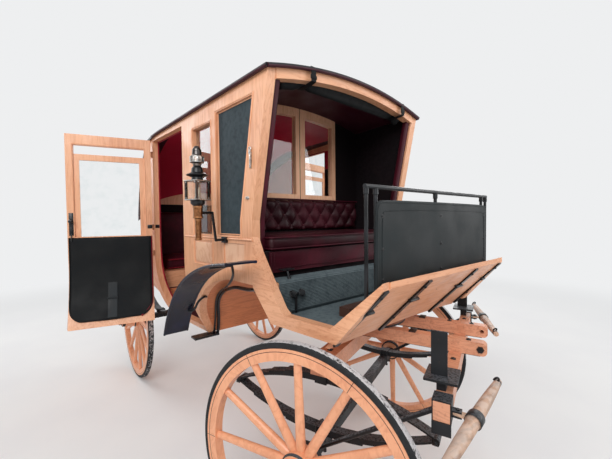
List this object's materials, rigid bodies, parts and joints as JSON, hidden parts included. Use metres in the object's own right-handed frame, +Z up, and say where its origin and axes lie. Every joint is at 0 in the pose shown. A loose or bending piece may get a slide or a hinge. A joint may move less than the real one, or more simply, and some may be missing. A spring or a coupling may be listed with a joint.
{
  "type": "stagecoach",
  "caption": "Light four-wheeled coach with a covered driver's place, a closed cabin with sunken floor, side doors that swing and a turning fore carriage.",
  "frame": {"origin": "on the ground under the centre of the overall box", "axes": "+X forward, +Y to the coach's left, +Z up"},
  "size_m": [3.3914, 2.4166, 2.135],
  "materials": {
    "wood": "varnished pale wood",
    "wood_dark": "dark stained wood",
    "body_paint": "dark red-brown paint",
    "roof_leather": "black enamelled cloth",
    "canvas": "dark waxed canvas",
    "curtain": "dark cloth",
    "upholstery": "buttoned dark red leather",
    "fender_leather": "black patent leather",
    "glass": "clear",
    "iron": "black painted iron",
    "lamp_metal": "black with copper bands",
    "tyre": "black rubber"
  },
  "bodies": {
    "coach": {"roof_skin": "roof_leather", "front_bow": "wood", "side_frame_right": "wood", "side_frame_left": "wood", "canvas_panels": "canvas", "lower_panels": "wood", "body_glass": "glass", "rear_panels": "body_paint", "cabin_floor": "wood_dark", "bulkhead": "wood_dark", "bench": "wood_dark", "bench_cushions": "upholstery", "side_sills": "wood", "driver_floor": "wood_dark", "seat_box": "wood_dark", "seat_cushion": "upholstery", "seat_back": "upholstery", "dash_panel": "canvas", "dash_frame": "iron", "fenders": "fender_leather", "side_irons": "iron", "lanterns": "lamp_metal", "lantern_glass": "glass", "rear_axle": "iron", "rear_springs": "iron", "top_bed": "iron", "front_curtain": "curtain"},
    "door_right": {"door_leaf_right": "wood", "door_sash_right": "wood", "door_glass_right": "glass", "door_pad_right": "canvas"},
    "door_left": {"door_leaf_left": "wood", "door_sash_left": "wood", "door_glass_left": "glass", "door_pad_left": "canvas"},
    "fore_carriage": {"front_axle": "iron", "front_springs": "iron", "fore_frame": "wood", "fore_irons": "iron"},
    "swingletree_right": {"swingletree_right": "wood"},
    "swingletree_left": {"swingletree_left": "wood"},
    "front_wheel_right": {"front_wheel_right": "wood", "front_tyre_right": "tyre"},
    "front_wheel_left": {"front_wheel_left": "wood", "front_tyre_left": "tyre"},
    "rear_wheel_right": {"rear_wheel_right": "wood", "rear_tyre_right": "tyre"},
    "rear_wheel_left": {"rear_wheel_left": "wood", "rear_tyre_left": "tyre"}
  },
  "joints": [
    {"name": "steer", "type": "hinge", "parent": "coach", "child": "fore_carriage", "pos_m": [0.91224, 0, 0.89], "axis": [0, 0, 1], "range_deg": [-65, 25]},
    {"name": "door_right", "type": "hinge", "parent": "coach", "child": "door_right", "pos_m": [-0.49777, -0.67594, 1.357], "axis": [0, 0, 1], "range_deg": [0, 108]},
    {"name": "door_left", "type": "hinge", "parent": "coach", "child": "door_left", "pos_m": [-0.49777, 0.67594, 1.357], "axis": [0, 0, -1], "range_deg": [0, 108]},
    {"name": "swingletree_right", "type": "hinge", "parent": "fore_carriage", "child": "swingletree_right", "pos_m": [1.59711, -0.34667, 0.794], "axis": [0, 0, 1], "range_deg": [-2.5, 17.5]},
    {"name": "swingletree_left", "type": "hinge", "parent": "fore_carriage", "child": "swingletree_left", "pos_m": [1.21405, 0.70579, 0.794], "axis": [0, 0, -1], "range_deg": [-2.5, 17.5]},
    {"name": "front_wheel_right", "type": "hinge", "parent": "fore_carriage", "child": "front_wheel_right", "pos_m": [1.13592, -0.61456, 0.475], "axis": [-0.342, 0.9397, 0], "continuous": true},
    {"name": "front_wheel_left", "type": "hinge", "parent": "fore_carriage", "child": "front_wheel_left", "pos_m": [0.68856, 0.61456, 0.475], "axis": [-0.342, 0.9397, 0], "continuous": true},
    {"name": "rear_wheel_right", "type": "hinge", "parent": "coach", "child": "rear_wheel_right", "pos_m": [-1.18576, -0.662, 0.51], "axis": [0, 1, 0], "continuous": true},
    {"name": "rear_wheel_left", "type": "hinge", "parent": "coach", "child": "rear_wheel_left", "pos_m": [-1.18576, 0.662, 0.51], "axis": [0, 1, 0], "continuous": true}
  ]
}
